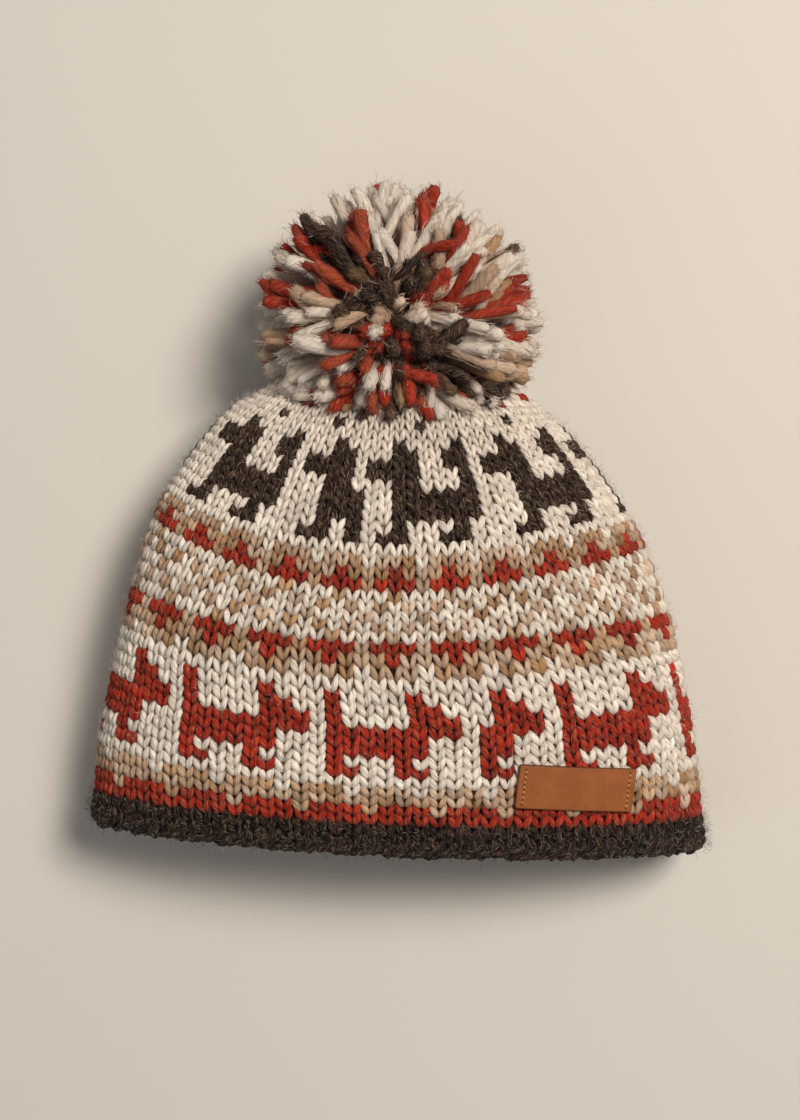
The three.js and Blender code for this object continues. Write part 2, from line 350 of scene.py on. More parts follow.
def front_normal(x, y):
    step = 1.0
    right = front_point(x + step, y) - front_point(x - step, y)
    up = front_point(x, y + step) - front_point(x, y - step)
    return unit(np.cross(right, up))


# Colour chart

def columns_around(rows):
    """How many columns of knitting go round the hat at these rows."""
    return COLUMNS_AROUND[np.searchsorted(DECREASE_ROWS, np.floor(rows), side="right")]


def front_spread(rows, around):
    """How many columns lie over the front half, and which column is in its middle."""
    below = np.equal(around, COLUMNS)
    spread = np.where(below, np.interp(rows, SPREAD_ROWS, SPREAD_COLUMNS), np.divide(around, 2))
    above_middle = np.multiply(around, UPPER_MIDDLE_SHARE)
    return spread, np.where(below, np.interp(rows, MIDDLE_ROWS, MIDDLE_COLUMNS), above_middle)


def stitch_turns(rows, columns, around):
    """Turns of places among the columns, which lie closer over the front than under the back."""
    spread, middle = front_spread(rows, around)
    from_front = np.mod(columns - middle + around / 2, around) - around / 2
    from_back = np.mod(from_front, around) - around / 2
    over_front = 0.25 - 0.5 * from_front / spread
    under_back = 0.75 - 0.5 * from_back / (around - spread)
    return np.where(np.abs(from_front) <= spread / 2, over_front, under_back)


def letters_at(rows, turns):
    """Chart letters at places of the wall."""
    around = columns_around(rows)
    spread, middle = front_spread(rows, around)
    turns = np.mod(turns, 1)
    over_front = middle + (0.25 - turns) * 2 * spread
    under_back = middle + around / 2 + (0.75 - turns) * 2 * (around - spread)
    columns = np.mod(np.where(turns <= 0.5, over_front, under_back), around)
    chart_rows = np.clip(rows, 0, TIP_ROW - 1).astype(int)
    return chart[chart_rows, np.minimum(columns.astype(int), around - 1)]


def draw_figure(chart, figure, top_row, start):
    for i, line in enumerate(figure):
        row = top_row - i
        for j, letter in enumerate(line):
            if letter != ".":
                chart[row, (start + j) % columns_around(row)] = letter


def knit_chart():
    chart = np.full((TIP_ROW, COLUMNS), ".")
    for row, repeat in REPEAT_ROWS.items():
        for column in range(COLUMNS):
            place = column if column < JOG_COLUMN else column - COLUMNS
            chart[row, column] = repeat[(place - REPEAT_START) % len(repeat)]
    for start in DOG_STARTS:
        draw_figure(chart, DOG, DOG_TOP_ROW, start)
    draw_figure(chart, [line[-DOG_PART_COLUMNS:] for line in DOG], DOG_TOP_ROW, DOG_PART_START)
    for start in LLAMA_STARTS:
        draw_figure(chart, LLAMA, LLAMA_TOP_ROW, start)
    draw_figure(chart, LLAMA_PART, LLAMA_TOP_ROW, LLAMA_PART_START)
    for column in DOT_COLUMNS:
        chart[DOTS_ROW, column] = "D"
    for row, column in RED_MARKS:
        chart[row, column] = "R"
    return chart


def yarn_colours(letters):
    """Colour and fleck amount of each yarn, each a little lighter or darker than the next."""
    colours = np.array([YARN[letter] for letter in letters])
    flecks = np.array([FLECKS[letter] for letter in letters])
    is_tan = np.array([letter == "T" for letter in letters])
    to_cream = np.where(is_tan, TAN_TO_CREAM * rng.random(len(letters)), 0)[:, None]
    colours = colours * (1 - to_cream) + YARN["."] * to_cream
    variation = np.array([YARN_VARIATION[letter] for letter in letters])[:, None]
    colours = colours * np.exp(variation * rng.standard_normal((len(letters), 1)))
    return np.column_stack([colours, flecks])


def shade_depth(colours):
    """How strongly shade darkens each yarn: light wool passes light on, so its gaps stay lighter."""
    return DARK_SHADE_DEPTH - LIGHT_SHADE_LOSS * (colours[..., :3] @ LUMINANCE)[..., None]


chart = knit_chart()


# Mesh building

# Reach of the random start of each strand's pattern, and room round each strand's part of the bake map
STRAND_SHIFT = 20
BAKE_MARGIN = 0.04

# A kind of loose fibre: how many, their least and greatest length, radius, and bend as a share of length
Fibre = namedtuple("Fibre", "count lengths radius curl")


def by_turns(*parts):
    """Values of several arrays by turns, in one row."""
    return np.stack(np.broadcast_arrays(*parts), axis=-1).reshape(-1)


def ring_batch(rings, tips, colours, along):
    """Closed tubes from rings[tube, ring, side] and tips[tube, end], coloured by tube, ring or point."""
    count, ring_count, sides = rings.shape[:3]
    points = np.concatenate([rings.reshape(count, -1, 3), tips], axis=1)
    points[..., 2] = np.maximum(points[..., 2], FLOOR_GAP)
    if colours.ndim == 2:
        colours = np.repeat(colours[:, None], ring_count, axis=1)
    if colours.ndim == 3:
        colours = np.repeat(colours[:, :, None], sides, axis=2)
    end_colours = np.stack([colours[:, 0].mean(axis=1), colours[:, -1].mean(axis=1)], axis=1)
    colours = np.concatenate([colours.reshape(count, -1, 4), end_colours], axis=1)

    ring, side = np.meshgrid(np.arange(ring_count - 1), np.arange(sides), indexing="ij")
    quad_rings = by_turns(ring, ring, ring + 1, ring + 1)
    quad_sides = by_turns(side, side + 1, side + 1, side)
    step = np.arange(sides)
    start_sides = by_turns(step + 0.5, step + 1, step)
    end_sides = by_turns(step + 0.5, step, step + 1)
    tip = ring_count * sides
    last = (ring_count - 1) * sides
    quads = quad_rings * sides + quad_sides % sides
    start = by_turns(tip, (step + 1) % sides, step)
    end = by_turns(tip + 1, last + step, last + (step + 1) % sides)
    corners = np.concatenate([quads, start, end])
    sizes = np.repeat([4, 3], [(ring_count - 1) * sides, 2 * sides])
    end_rings = np.repeat([0, ring_count - 1], 3 * sides)
    corner_rings = np.concatenate([quad_rings, end_rings])
    corner_sides = np.concatenate([quad_sides, start_sides, end_sides]) / sides

    offsets = np.arange(count)[:, None] * points.shape[1]
    shift = rng.random((count, 2))
    strand = np.stack([
        along[:, corner_rings] + shift[:, :1] * STRAND_SHIFT,
        np.broadcast_to(corner_sides, (count, len(corners))) + shift[:, 1:],
    ], axis=-1)
    cell = np.stack([corner_rings / max(ring_count - 1, 1), corner_sides], axis=-1)
    return {
        "points": points.reshape(-1, 3),
        "colours": colours.reshape(-1, 4),
        "corners": (corners[None] + offsets).reshape(-1),
        "sizes": np.tile(sizes, count),
        "strand": strand.reshape(-1, 2),
        "cell": np.broadcast_to(cell, (count, len(corners), 2)).reshape(-1, 2),
        "tube": np.repeat(np.arange(count), len(corners)),
        "count": count,
    }


def tube_batch(centres, lift, half_width, half_depth, tips, colours, sides, rough=0.0):
    """Closed tubes along centres[tube, ring]; lift is the direction that half_depth is measured in."""
    axis = unit(np.gradient(centres, axis=1))
    across = unit(np.cross(lift, axis))
    lift = np.cross(axis, across)
    angles = 2 * math.pi * np.arange(sides) / sides
    wide = across[:, :, None] * np.cos(angles)[:, None] * half_width[..., None, None]
    deep = lift[:, :, None] * np.sin(angles)[:, None] * half_depth[..., None, None]
    uneven = 1 + rough * rng.standard_normal((*centres.shape[:2], sides, 1))
    rings = centres[:, :, None] + (wide + deep) * uneven
    return ring_batch(rings, tips, colours, travelled(centres) / MM_PER_CM)


def tips_beyond(centres, before, after):
    """Points a little past both ends of each tube, which shut it."""
    axis = unit(np.gradient(centres, axis=1))
    return np.stack([centres[:, 0] - axis[:, 0] * before, centres[:, -1] + axis[:, -1] * after], axis=1)


def one_tube_batch(rings, colours, pattern_length):
    """A single closed tube from rings[ring, side], shut at the middles of its end rings."""
    tips = np.stack([rings[0].mean(axis=0), rings[-1].mean(axis=0)])
    along = np.linspace(0, pattern_length, len(rings))
    return ring_batch(rings[None], tips[None], colours[None], along[None])


def wisp_batch(starts, middles, ends, radius, colours):
    """Very fine fibres, each a spindle with one bend."""
    axis = unit(ends - starts)
    side = unit(np.cross(axis, rng.standard_normal(axis.shape)))
    angles = 2 * math.pi * np.arange(3)[:, None] / 3
    around = side[:, None] * np.cos(angles) + np.cross(axis, side)[:, None] * np.sin(angles)
    rings = (middles[:, None] + radius * around)[:, None]
    return ring_batch(rings, np.stack([starts, ends], axis=1), colours, np.zeros((len(starts), 1)))


def bent_wisps(starts, directions, colours, kind):
    """Very fine fibres by their start and direction, bent to a random side."""
    lengths = rng.uniform(*kind.lengths, len(starts))
    side = unit(np.cross(directions, rng.standard_normal(directions.shape)))
    middles = starts + directions * (0.5 * lengths)[:, None] + side * (kind.curl * lengths)[:, None]
    return wisp_batch(starts, middles, starts + directions * lengths[:, None], kind.radius, colours)


def make_piece(name, batches, material, replaced=None):
    """One mesh from batches given in millimetres, riding on the hat."""
    def joined(key):
        return np.concatenate([batch[key] for batch in batches])

    def counted_on(key, counts):
        firsts = np.cumsum([0] + counts)
        return np.concatenate([batch[key] + first for batch, first in zip(batches, firsts)])

    points = joined("points") * MM
    sizes = joined("sizes")
    corners = counted_on("corners", [len(batch["points"]) for batch in batches])
    tube_counts = [batch["count"] for batch in batches]
    tube = counted_on("tube", tube_counts)
    cells = math.ceil(math.sqrt(sum(tube_counts)))
    inside = joined("cell") * (1 - 2 * BAKE_MARGIN) + BAKE_MARGIN
    bake = (inside + np.stack([tube % cells, tube // cells], axis=-1)) / cells

    mesh = bpy.data.meshes.new(name)
    mesh.vertices.add(len(points))
    mesh.vertices.foreach_set("co", points.astype(np.float32).ravel())
    mesh.loops.add(len(corners))
    mesh.loops.foreach_set("vertex_index", corners.astype(np.int32))
    mesh.polygons.add(len(sizes))
    starts = np.concatenate([[0], np.cumsum(sizes)[:-1]])
    mesh.polygons.foreach_set("loop_start", starts.astype(np.int32))
    mesh.update(calc_edges=True)
    mesh.shade_smooth()
    for layer_name, values in (("strand", joined("strand")), ("OFBake", bake)):
        layer = mesh.uv_layers.new(name=layer_name)
        layer.data.foreach_set("uv", values.astype(np.float32).ravel())
    attribute = mesh.color_attributes.new("yarn", "FLOAT_COLOR", "POINT")
    colours = np.clip(joined("colours"), 0, 1)
    attribute.data.foreach_set("color", colours.astype(np.float32).ravel())
    mesh.materials.append(material)

    piece = bpy.data.objects.new(name, mesh)
    bpy.context.scene.collection.objects.link(piece)
    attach(piece, "root")
    if replaced:
        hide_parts(replaced)
    return piece


# Materials

def add_node(tree, kind, settings=None, values=None):
    made = tree.nodes.new(kind)
    for name, value in (settings or {}).items():
        setattr(made, name, value)
    for name, value in (values or {}).items():
        made.inputs[name].default_value = value
    return made


def math_node(tree, operation, first, second=None, third=None):
    """The output of a sum on links and plain values."""
    made = add_node(tree, "ShaderNodeMath", {"operation": operation})
    for index, value in enumerate((first, second, third)):
        if isinstance(value, bpy.types.NodeSocket):
            tree.links.new(value, made.inputs[index])
        elif value is not None:
            made.inputs[index].default_value = value
    return made.outputs["Value"]


def new_material(name):
    """A material, with its node tree and the inputs of its shader."""
    material = bpy.data.materials.new(name)
    material.use_nodes = True
    tree = material.node_tree
    return material, tree, tree.nodes["Principled BSDF"].inputs


def noise(tree, vector, scale, detail, roughness):
    values = {"Scale": scale, "Detail": detail, "Roughness": roughness}
    made = add_node(tree, "ShaderNodeTexNoise", None, values)
    tree.links.new(vector, made.inputs["Vector"])
    return made.outputs[0]


def ranged(tree, value, low, high, to_low, to_high):
    """A link's values from low to high, moved to another range."""
    made = add_node(tree, "ShaderNodeMapRange", None, {1: low, 2: high, 3: to_low, 4: to_high})
    tree.links.new(value, made.inputs["Value"])
    return made.outputs["Result"]


def scaled(tree, colour, lightness):
    made = add_node(tree, "ShaderNodeVectorMath", {"operation": "SCALE"})
    tree.links.new(colour, made.inputs[0])
    tree.links.new(lightness, made.inputs["Scale"])
    return made.outputs["Vector"]


def bumped(tree, height, strength, distance):
    made = add_node(tree, "ShaderNodeBump", None, {"Strength": strength, "Distance": distance})
    tree.links.new(height, made.inputs["Height"])
    return made.outputs["Normal"]


FLECK_COLOUR = linear(214, 176, 146)


def wool_material(name, plies, turns_per_cm, fibres_along, fibres_round, ply_depth, relief, sheen):
    """Spun yarn: plies wound round the strand, fibres along them, light flecks, and painted shade in the
    grooves between the plies.
    """
    material, tree, inputs = new_material(name)
    link = tree.links.new
    inputs["Roughness"].default_value = 0.92
    inputs["Specular IOR Level"].default_value = 0.12
    inputs["Sheen Weight"].default_value = sheen
    inputs["Sheen Roughness"].default_value = 0.55

    yarn = add_node(tree, "ShaderNodeAttribute", {"attribute_name": "yarn"})
    place = add_node(tree, "ShaderNodeUVMap", {"uv_map": "strand"})
    split = add_node(tree, "ShaderNodeSeparateXYZ")
    link(place.outputs["UV"], split.inputs["Vector"])
    wound = math_node(tree, "MULTIPLY_ADD", split.outputs["X"], turns_per_cm, split.outputs["Y"])
    ply_wave = math_node(tree, "SINE", math_node(tree, "MULTIPLY", wound, plies * math.pi))
    ply = math_node(tree, "ABSOLUTE", ply_wave)

    angle = math_node(tree, "MULTIPLY", wound, 2 * math.pi)
    stretch = add_node(tree, "ShaderNodeCombineXYZ")
    link(math_node(tree, "MULTIPLY", split.outputs["X"], fibres_along), stretch.inputs["X"])
    for operation, axis in (("COSINE", "Y"), ("SINE", "Z")):
        part = math_node(tree, operation, angle)
        link(math_node(tree, "MULTIPLY", part, fibres_round), stretch.inputs[axis])
    fibres = noise(tree, stretch.outputs["Vector"], 1.0, 3.0, 0.6)
    streaks = noise(tree, stretch.outputs["Vector"], 1.9, 1.0, 0.5)

    shade = ranged(tree, fibres, 0.25, 0.75, 0.64, 1.22)
    # Painted shade: the base colour darkens in the grooves between the plies
    ply_groove_shade = ranged(tree, ply, 0.0, 0.5, 1 - ply_depth, 1.0)
    shaded = scaled(tree, yarn.outputs["Color"], math_node(tree, "MULTIPLY", shade, ply_groove_shade))
    fleck = ranged(tree, streaks, 0.56, 0.70, 0.0, 1.0)
    mixed = add_node(tree, "ShaderNodeMix", {"data_type": "RGBA"}, {7: (*FLECK_COLOUR, 1)})
    link(math_node(tree, "MULTIPLY", fleck, yarn.outputs["Alpha"]), mixed.inputs[0])
    link(shaded, mixed.inputs[6])
    link(mixed.outputs[2], inputs["Base Color"])

    height = math_node(tree, "MULTIPLY_ADD", ply, 2.5 * ply_depth, fibres)
    link(bumped(tree, height, 0.8, relief * MM), inputs["Normal"])
    return material


knit_wool = wool_material(
    "knit_wool", plies=2, turns_per_cm=0.8, fibres_along=2.6, fibres_round=3.0,
    ply_depth=0.3, relief=0.45, sheen=0.05,
)
pom_wool = wool_material(
    "pom_wool", plies=3, turns_per_cm=0.75, fibres_along=1.8, fibres_round=5.5,
    ply_depth=0.13, relief=0.7, sheen=0.04,
)
loose_fibre = wool_material(
    "loose_fibre", plies=1, turns_per_cm=0.5, fibres_along=1.5, fibres_round=0.6,
    ply_depth=0.0, relief=0.02, sheen=0.05,
)


# Knit stitches

def stitch_legs(rows, columns, around, colours, sides, lift=0.0):
    """Both legs of each stitch as plump spindles whose ends sink between their neighbours."""
    count = 2 * len(rows)
    hand = np.repeat([-1, 1], len(rows))[:, None]
    rows = np.tile(rows, 2)[:, None] + LEG_JITTER * rng.standard_normal((count, 1))
    columns = np.tile(columns, 2)[:, None] + LEG_JITTER * rng.standard_normal((count, 1))
    colours = np.tile(colours, (2, 1))
    colours[:, :3] *= 1 + LEG_TONE_VARIATION * rng.standard_normal((count, 1))
    t = np.linspace(0, 1, LEG_RINGS)[None, :]
    spread = LEG_FOOT + (LEG_HEAD - LEG_FOOT) * t
    spread = spread * (1 + LEG_SPREAD_VARIATION * rng.standard_normal((count, 1)))
    row_path = rows + LEG_START + LEG_RISE * t
    turn_path = stitch_turns(row_path, columns + 0.5 + hand * spread, around)
    arch = np.sin(math.pi * (LEG_ARCH_ENDS + (1 - 2 * LEG_ARCH_ENDS) * t)) ** LEG_ARCH_POWER
    fullness = 1 + LEG_FULLNESS_VARIATION * rng.standard_normal((count, 1))
    out = LEG_AXIS + lift - LEG_SINK * (1 - arch)
    centres, normal = on_wall(row_path, turn_path, out)
    left, _ = on_wall(rows, stitch_turns(rows, columns, around), 0.0)
    right, _ = on_wall(rows, stitch_turns(rows, columns + 1, around), 0.0)
    column_width = np.linalg.norm(right - left, axis=-1)
    width = np.minimum(column_width, WIDEST_COLUMN) * LEG_HALF_WIDTH * LEG_PROFILE * fullness
    depth = LEG_HALF_DEPTH * LEG_PROFILE * fullness
    tips = tips_beyond(centres, LEG_TIP, LEG_TIP)
    shaded = np.repeat(colours[:, None], LEG_RINGS, axis=1)
    shaded[..., :3] *= LEG_SHADE[:, None] ** (SHADE_WARMTH * shade_depth(colours)[:, None])
    return tube_batch(centres, normal, width, depth, tips, shaded, sides)


def band_batches(first_row, last_row, around):
    row_grid, column_grid = np.meshgrid(
        np.arange(first_row, last_row + 1), np.arange(around), indexing="ij",
    )
    rows = row_grid.ravel()
    columns = column_grid.ravel()
    colours = yarn_colours(chart[rows, columns])
    turns = stitch_turns(rows, columns + 0.5, around)
    front = np.mod(turns + FRONT_MARGIN, 1) < 0.5 + 2 * FRONT_MARGIN
    batches = []
    for chosen, sides in ((front, FRONT_LEG_SIDES), (~front, BACK_LEG_SIDES)):
        batches.append(stitch_legs(
            rows[chosen].astype(float), columns[chosen].astype(float), around, colours[chosen], sides,
        ))
    return batches


for band_name, band in STITCH_BANDS.items():
    make_piece(band_name, band_batches(*band), knit_wool)


# Backing: the inner side of the stitches, painted dark as the shade in the gaps between them, and the
# shaded inside of the hat, as one closed wall

BACKING_OUT = -2.4
BACKING_AROUND = 128
BACKING_OUTER_RINGS = 70
BACKING_INNER_RINGS = 46
BACKING_PATTERN_LENGTH = 40
INSIDE_SHADE = 0.8
START_ROW = EDGING_ROWS + 0.05


def backing_batch():
    outer_rows = np.linspace(TIP_ROW, START_ROW, BACKING_OUTER_RINGS)
    inner_rows = np.linspace(START_ROW, INNER_TIP_ROW, BACKING_INNER_RINGS)
    rows = np.concatenate([outer_rows, inner_rows])[:, None]
    out = np.concatenate([
        np.full(BACKING_OUTER_RINGS, BACKING_OUT), np.full(BACKING_INNER_RINGS, -WALL),
    ])[:, None]
    turns = np.arange(BACKING_AROUND)[None, :] / BACKING_AROUND
    rings, _ = on_wall(rows, turns, out)
    letters = letters_at(*np.broadcast_arrays(rows, turns))
    colours = yarn_colours(letters.ravel()).reshape(*rings.shape[:2], 4)
    # Painted shade: where the backing shows between the stitches it is darkened, and the inside of the
    # hat a little too
    colours[:BACKING_OUTER_RINGS, :, :3] *= GAP_SHADE_TINT ** shade_depth(colours[:BACKING_OUTER_RINGS])
    colours[BACKING_OUTER_RINGS:, :, :3] *= INSIDE_SHADE
    return one_tube_batch(rings, colours, BACKING_PATTERN_LENGTH)


make_piece("knit_backing", [backing_batch()], knit_wool, "hat_body")


# Purl bumps on the inside near the mouth: each stitch shows two arcs there

PURL_ROWS = (3, 11)
PURL_RINGS = 3
PURL_SIDES = 5
PURL_BOW = 0.22
PURL_REACH = 0.42
PURL_END_SINK = 0.6
PURL_HALF_WIDTHS = np.array([0.7, 1.05, 0.7])
PURL_FLATNESS = 0.8
PURL_TIP = 0.5
PURL_SHADE = 0.9


def purl_batch():
    row_grid, column_grid = np.meshgrid(np.arange(*PURL_ROWS), np.arange(COLUMNS), indexing="ij")
    rows = np.tile(row_grid.ravel(), 2).astype(float)[:, None]
    columns = np.tile(column_grid.ravel(), 2).astype(float)[:, None]
    upper = np.repeat([0, 1], row_grid.size)[:, None]
    colours = yarn_colours(chart[rows[:, 0].astype(int), columns[:, 0].astype(int)])
    colours[:, :3] *= PURL_SHADE
    t = np.linspace(-1, 1, PURL_RINGS)[None, :]
    bow = PURL_BOW * (1 - t ** 2)
    row_path = rows + 0.25 + 0.5 * upper + np.where(upper == 1, bow, -bow)
    turn_path = stitch_turns(row_path, columns + 0.5 + 0.5 * upper + PURL_REACH * t, COLUMNS)
    centres, normal = on_wall(row_path, turn_path, -WALL + PURL_END_SINK * np.abs(t))
    size = PURL_HALF_WIDTHS * np.ones_like(row_path)
    tips = tips_beyond(centres, PURL_TIP, PURL_TIP)
    return tube_batch(centres, normal, size, size * PURL_FLATNESS, tips, colours, PURL_SIDES)


make_piece("knit_inside", [purl_batch()], knit_wool)


# Hem edging: two rows of stitches over a rolled edge of slanted purl bumps, on a round core

EDGING_OUTLINE = np.array([
    [2.95, 0.1], [1.9, 0.9], [0.9, 0.8], [0.15, -0.7],
    [0.0, -2.4], [0.25, -4.3], [1.2, -5.3], [2.95, -4.6],
])
EDGING_MIDDLE = np.array([1.6, -2.2])
EDGING_CORE_SHARE = 0.72
EDGING_CORE_SHADE = 0.1
EDGING_PATTERN_LENGTH = 50
HEM_RING_COLUMNS = ("row", "out", "facing")
HEM_RINGS = [
    [1.15, 0.0, 15], [0.75, -0.2, 35], [0.35, -0.9, 60], [0.12, -2.2, 90],
    [0.35, -3.6, 125], [0.95, -4.6, 160], [1.6, -4.7, 175], [2.3, -4.5, 180],
]
HEM_BUMPS = 108
HEM_RINGS_LONG = 4
HEM_SIDES = 6
HEM_SHADE = 0.52
HEM_VARIATION = 0.5
HEM_FLECKS = 0.35
HEM_SLANT = -0.42
HEM_END_SHADE = np.array([0.15, 1.0, 1.0, 0.15])
HEM_HALF_WIDTHS = np.array([0.6, 1.1, 1.1, 0.6])
HEM_WIDTH_VARIATION = 0.16
HEM_REACH = 0.62
HEM_BOW = 0.12
HEM_JITTER = 0.12
HEM_LEVEL_JITTER = 0.35
HEM_END_SINK = 0.9
HEM_TIP = 0.6

# Rows of stitches on the edging, and how far each stands out over the knit
HEM_STITCH_ROWS = {1: 0.75, 2: 0.4}


def hem_core_batch():
    outline = EDGING_MIDDLE + (EDGING_OUTLINE - EDGING_MIDDLE) * EDGING_CORE_SHARE
    turns = np.arange(BACKING_AROUND + 1) / BACKING_AROUND
    rings, _ = on_wall(outline[:, 0], turns[:, None], outline[:, 1])
    colours = np.tile(np.append(YARN["D"] * EDGING_CORE_SHADE, 0.0), (len(rings), 1))
    return one_tube_batch(rings[::-1], colours, EDGING_PATTERN_LENGTH)


def hem_colours(count):
    colours = yarn_colours(["D"] * count)
    colours[:, :3] *= HEM_SHADE * np.exp(HEM_VARIATION * rng.standard_normal((count, 1)))
    colours[:, 3] = HEM_FLECKS
    return colours


def hem_stitch_batches():
    batches = []
    for row, lift in HEM_STITCH_ROWS.items():
        columns = np.arange(COLUMNS).astype(float)
        rows = np.full(COLUMNS, float(row))
        batches.append(stitch_legs(rows, columns, COLUMNS, hem_colours(COLUMNS), FRONT_LEG_SIDES, lift))
    return batches


def hem_bump_batches():
    batches = []
    for index, values in enumerate(HEM_RINGS):
        ring = dict(zip(HEM_RING_COLUMNS, values))
        number = np.arange(HEM_BUMPS)[:, None] + 0.5 * (index % 2)
        number = number + HEM_JITTER * rng.standard_normal(number.shape)
        t = np.linspace(-1, 1, HEM_RINGS_LONG)[None, :]
        turn = (number + HEM_REACH * t) / HEM_BUMPS
        slope = HEM_SLANT + HEM_JITTER * rng.standard_normal(number.shape)
        row = ring["row"] + HEM_BOW * (1 - t ** 2) + slope * t
        level = HEM_LEVEL_JITTER * rng.standard_normal(number.shape)
        facing = math.radians(ring["facing"])
        centres, normal = on_wall(row, turn, ring["out"])
        above, _ = on_wall(row + 0.5, turn, ring["out"])
        below, _ = on_wall(np.maximum(row - 0.1, 0), turn, ring["out"])
        lift = math.cos(facing) * normal - math.sin(facing) * unit(above - below)
        centres = centres + lift * (level - HEM_END_SINK * t ** 2)[..., None]
        size = HEM_HALF_WIDTHS * (1 + HEM_WIDTH_VARIATION * rng.standard_normal(number.shape))
        tips = tips_beyond(centres, HEM_TIP, HEM_TIP)
        colours = np.repeat(hem_colours(HEM_BUMPS)[:, None], HEM_RINGS_LONG, axis=1)
        colours[..., :3] *= HEM_END_SHADE[:, None]
        batches.append(tube_batch(centres, lift, size, size, tips, colours, HEM_SIDES))
    return batches


hem_batches = [hem_core_batch()] + hem_stitch_batches() + hem_bump_batches()
make_piece("hem_yarn", hem_batches, knit_wool, "hem_edging")


# Pom-pom: strands fan out from the tied root, part round the view from above and lie over the crown

POM_ROOT = np.array([0, 64.5, 44.0])
POM_HALF_WIDTH = 51.5
POM_HALF_HEIGHT = 49.0
POM_REACH = 53.5
POM_REACH_TO_HEM = 38.0
STRAND_COUNT = 900
INNER_STRANDS = 120
STRAND_SIDES = 6
STRAND_PARTING = math.radians(32)
STRAND_FLOP = math.radians(38)
STRAND_START = 3.0
STRAND_SCATTER = 5.0
STRAND_HALF_WIDTH = 1.85
STRAND_BEND = 0.13
STRAND_STOPS = np.array([0, 0.14, 0.28, 0.42, 0.56, 0.7, 0.82, 0.92, 0.98, 1.0])
STRAND_PROFILE = np.array([0.55, 0.58, 0.68, 0.8, 0.92, 1.0, 1.05, 1.1, 1.08, 0.85])
STRAND_UNEVENNESS = 0.2
STRAND_CLUMPING = 0.18
STRAND_ROUGHNESS = 0.07
STRAND_TIP = 0.4
STRAND_ROOM = 0.3
POLAR_JITTER = 0.1
AZIMUTH_JITTER = 0.08
INNER_POLAR_DEGREES = (4, 40)
INNER_LENGTHS = (0.6, 0.92)
DEEPEST_TIP = -9
CROWN_ROWS = 26
CROWN_TURNS = 172
CROWN_REACH = 14
FRAY = Fibre(12, (2.2, 4.6), 0.13, 0.18)
FRAY_START = 1.2
FRAY_SPREAD = 0.4
ROOT_WARMTH = np.array([1.0, 0.84, 0.64])
POM_MARL = 0.25

# Colours round the pom-pom seen from above, clockwise from straight up the hat: the outer strands,
# those that end half way out, and those round the parting
POM_FANS = (
    ".R....R.RTD..RRDRDR...T.R.RD..",
    "T.TRRTRR..TDD.RDRRR.R...TRRDR.",
    "TDDDRTT.DDDDDRRDDRRD.RTDDTDDDD",
)
FAN_SHARES = np.array([0.52, 0.78])
LOOSE_COLOURS = np.array([".", ".", ".", ".", ".", "R", "R", "D", "T"])
FAN_COLOUR_SHARE = 0.72
COLOUR_GROUPS = 120
CHARTED_DEPTH = 6


def turned_up(polar, azimuth):
    """A direction by its angle from straight up and its angle round the vertical."""
    flat = np.sin(polar)
    return np.stack([flat * np.cos(azimuth), flat * np.sin(azimuth), np.cos(polar)], axis=-1)


def crown_tree():
    rows = np.arange(CROWN_ROWS, TIP_ROW + 0.1, 0.5)[:, None]
    turns = np.arange(CROWN_TURNS)[None, :] / CROWN_TURNS
    points, normals = on_wall(rows, turns, 0.0)
    points = points.reshape(-1, 3)
    tree = KDTree(len(points))
    for i, point in enumerate(points):
        tree.insert(point, i)
    tree.balance()
    return tree, points, normals.reshape(-1, 3)


crown, crown_points, crown_normals = crown_tree()


def clear_of_hat(paths, room):
    """Paths moved out of the crown and off the floor, so that strands lie over them."""
    flat = paths.reshape(-1, 3).copy()
    nearest = np.array([crown.find(point)[1] for point in flat])
    away = flat - crown_points[nearest]
    height = (away * crown_normals[nearest]).sum(axis=-1)
    short = np.maximum(room.ravel() - height, 0)
    close = np.linalg.norm(away, axis=-1) < CROWN_REACH
    flat += crown_normals[nearest] * (short * close)[:, None]
    flat[:, 2] = np.maximum(flat[:, 2], 0.75 * room.ravel())
    return flat.reshape(paths.shape)


def fan_places(points):
    """Fan and place round it of points seen from above."""
    x, y = (points[..., :2] - POM_ROOT[:2]).T
    reach = np.hypot(x / POM_HALF_WIDTH, y / np.where(y > 0, POM_REACH, POM_REACH_TO_HEM))
    fan = len(POM_FANS) - 1 - np.searchsorted(FAN_SHARES, reach)
    count = len(POM_FANS[0])
    return fan, np.round(np.arctan2(x, y) / (2 * math.pi) * count).astype(int) % count


def clumped(tips):
    """Tips drawn together with those of the same fan and place, as strands lie in bundles."""
    fan, place = fan_places(tips)
    under = tips[:, 2] < POM_ROOT[2]
    group = (fan * len(POM_FANS[0]) + place) * 2 + under
    sizes = np.maximum(np.bincount(group), 1)
    middles = np.stack([np.bincount(group, tips[:, axis]) / sizes for axis in range(3)], axis=-1)
    return tips + STRAND_CLUMPING * (middles[group] - tips)


